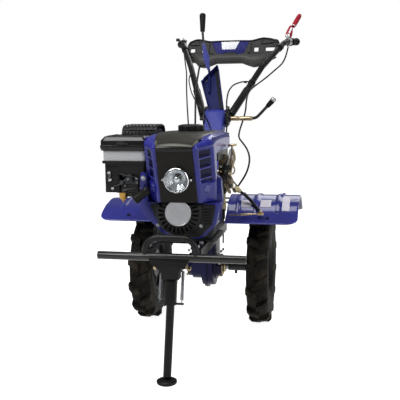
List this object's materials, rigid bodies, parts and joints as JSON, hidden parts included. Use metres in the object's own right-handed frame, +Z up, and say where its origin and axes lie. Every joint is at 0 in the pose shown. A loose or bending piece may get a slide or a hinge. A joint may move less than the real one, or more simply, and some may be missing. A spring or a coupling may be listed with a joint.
{
  "type": "power weeder",
  "caption": "Walk-behind power weeder with a petrol engine on a gearbox, two lugged wheels on one shaft, a folding front stand and a height-adjustable handlebar.",
  "frame": {"origin": "on the floor under the middle of the machine, halfway along its length and width", "axes": "+X towards the machine's own left-hand side, +Y from the nose to the handlebar, +Z up"},
  "size_m": [0.716, 1.5842, 1.2455],
  "materials": {
    "blue_paint": "gloss blue powder coat",
    "light_blue_paint": "lighter blue gloss paint",
    "gear_paint": "cast aluminium in gloss blue paint",
    "black_paint": "satin black powder coat",
    "cast_aluminium": "as-cast aluminium",
    "black_plastic": "moulded black plastic",
    "tank_black": "satin black moulded tank",
    "blue_plastic": "moulded blue plastic",
    "silver_plastic": "silver painted plastic",
    "lamp_chrome": "chromed bezel with a clear lens",
    "red_plastic": "red moulded lever",
    "cream_plastic": "cream moulded plastic",
    "zinc": "yellow zinc plated steel",
    "brass": "passivated brass",
    "tyre_rubber": "black tyre rubber",
    "grip_rubber": "ribbed black rubber",
    "cable_black": "black sheathed control cable",
    "steel": "machined steel",
    "heat_black": "heat resistant black paint"
  },
  "bodies": {
    "wheel_shaft": {"left_tyre": "tyre_rubber", "right_tyre": "tyre_rubber", "wheel_rims": "black_paint", "axle_shaft": "steel", "wheel_hubs": "black_paint"},
    "chassis": {"gearbox": "gear_paint", "bearing_caps": "zinc", "clutch_housing": "cast_aluminium", "engine_bed": "black_paint", "front_crossbar": "black_paint", "front_hoop": "black_paint", "stand_bracket": "black_paint", "rear_hitch": "black_paint", "left_fender": "blue_paint", "right_fender": "blue_paint", "fender_stays": "black_paint", "engine_block": "cast_aluminium", "cylinder_head": "cast_aluminium", "fan_shroud": "blue_paint", "recoil_cover": "black_plastic", "recoil_badge": "silver_plastic", "recoil_handle": "black_plastic", "air_filter_base": "black_plastic", "air_filter_band": "silver_plastic", "air_filter_cover": "black_plastic", "carburettor": "cast_aluminium", "float_bowl": "brass", "muffler": "heat_black", "muffler_guard": "heat_black", "fuel_tank": "tank_black", "tank_cap": "black_plastic", "hood_front": "black_plastic", "hood_left": "blue_paint", "hood_right": "blue_paint", "side_panels": "blue_paint", "headlight": "lamp_chrome", "handle_column": "light_blue_paint", "gear_console": "blue_paint", "gate_plate": "light_blue_paint", "shift_lever": "black_plastic", "shift_rods": "black_paint", "control_brackets": "zinc", "cable_connectors": "cream_plastic", "clutch_cable": "cable_black", "loop_cable": "cable_black", "sheath_hose": "cable_black", "stop_wire_cable": "cable_black", "throttle_cable": "cable_black"},
    "handlebar": {"handlebar_hub": "black_paint", "handle_tubes": "black_paint", "handle_grips": "grip_rubber", "handle_panel": "black_plastic", "panel_insert": "blue_plastic", "panel_brackets": "black_paint", "clutch_lever": "red_plastic", "throttle_lever": "steel", "clamp_lever": "zinc"},
    "front_stand": {"stand_leg": "black_paint", "stand_foot": "black_paint", "stand_springs": "steel"}
  },
  "joints": [
    {"name": "wheel_spin", "type": "hinge", "parent": "chassis", "child": "wheel_shaft", "pos_m": [0, -0.1079, 0.21], "axis": [1, 0, 0], "continuous": true},
    {"name": "stand_fold", "type": "hinge", "parent": "chassis", "child": "front_stand", "pos_m": [0, -0.6699, 0.331], "axis": [1, 0, 0], "range_deg": [0, 95], "deforming": ["stand_springs"]},
    {"name": "handlebar_height", "type": "hinge", "parent": "chassis", "child": "handlebar", "pos_m": [0, 0.1321, 0.762], "axis": [1, 0, 0], "range_deg": [-12, 5], "deforming": ["clutch_cable", "throttle_cable", "stop_wire_cable", "loop_cable"]}
  ]
}
